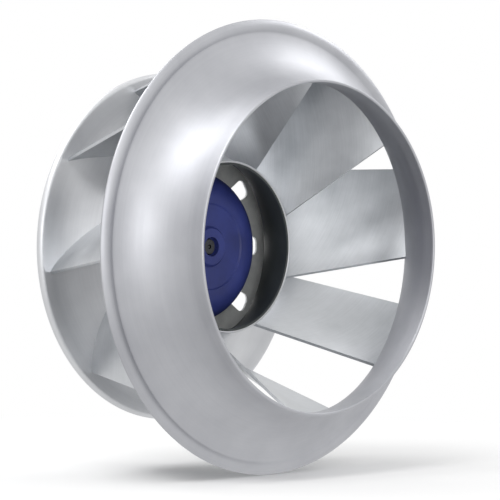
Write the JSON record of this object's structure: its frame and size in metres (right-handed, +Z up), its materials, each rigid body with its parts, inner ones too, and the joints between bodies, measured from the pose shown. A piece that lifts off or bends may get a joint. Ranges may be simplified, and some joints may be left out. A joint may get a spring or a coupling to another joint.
{
  "type": "motorised fan wheel",
  "caption": "Motorised fan wheel: backward curved mixed flow impeller with spun inlet shroud and hub, turned by an external rotor motor with a bolt-on flange.",
  "frame": {"origin": "centre of the motor's mounting face, on the fan axis", "axes": "+Y along the fan axis out of the mounting face, so the inlet faces -Y; +Z up, with the cable gland below the axis; +X to the right as seen from the inlet"},
  "size_m": [0.4, 0.2506, 0.4],
  "materials": {
    "spun_aluminium": "satin, spun",
    "blade_aluminium": "satin, pressed sheet",
    "black_paint": "matt",
    "zinc_sheet": "zinc coated sheet",
    "zinc_steel": "zinc plated",
    "rivet_aluminium": "plain",
    "blue_paint": "satin",
    "lamination_steel": "dull sheet",
    "cage_aluminium": "as cast",
    "shaft_steel": "ground",
    "black_rubber": "matt",
    "bearing_steel": "polished",
    "spring_steel": "blackened",
    "tube_steel": "turned",
    "insulator_plastic": "matt",
    "winding_copper": "enamelled wire",
    "black_plastic": "matt",
    "cast_aluminium": "as cast, machined face"
  },
  "bodies": {
    "stator": {"bearing_tube": "tube_steel", "stator_core": "lamination_steel", "front_insulator": "insulator_plastic", "rear_insulator": "insulator_plastic", "stator_winding": "winding_copper", "thermal_cutout": "black_plastic", "mounting_flange": "cast_aluminium", "rear_cap": "zinc_steel", "gland_body": "black_plastic", "gland_seal": "black_rubber", "gland_nut": "black_plastic", "front_bearing_outer_ring": "bearing_steel", "rear_bearing_outer_ring": "bearing_steel", "preload_spring": "spring_steel"},
    "wheel": {"inlet_shroud": "spun_aluminium", "blade_1": "blade_aluminium", "blade_2": "blade_aluminium", "blade_3": "blade_aluminium", "blade_4": "blade_aluminium", "blade_5": "blade_aluminium", "blade_6": "blade_aluminium", "blade_7": "blade_aluminium", "blade_8": "blade_aluminium", "blade_9": "blade_aluminium", "hub": "spun_aluminium", "support_cone": "black_paint", "vented_disc": "zinc_sheet", "disc_washers": "zinc_steel", "disc_screws": "zinc_steel", "balance_weights": "zinc_steel", "balance_rivets": "rivet_aluminium", "rotor_cup": "blue_paint", "carrier_ring": "tube_steel", "rotor_core": "lamination_steel", "rotor_cage": "cage_aluminium", "shaft": "shaft_steel", "shaft_seal": "black_rubber", "front_bearing_inner_ring": "bearing_steel", "front_bearing_balls": "bearing_steel", "rear_bearing_inner_ring": "bearing_steel", "rear_bearing_balls": "bearing_steel", "shaft_circlip": "spring_steel"}
  },
  "joints": [
    {"name": "fan_spin", "type": "hinge", "parent": "stator", "child": "wheel", "pos_m": [0, 0, 0], "axis": [0, 1, 0], "continuous": true}
  ]
}
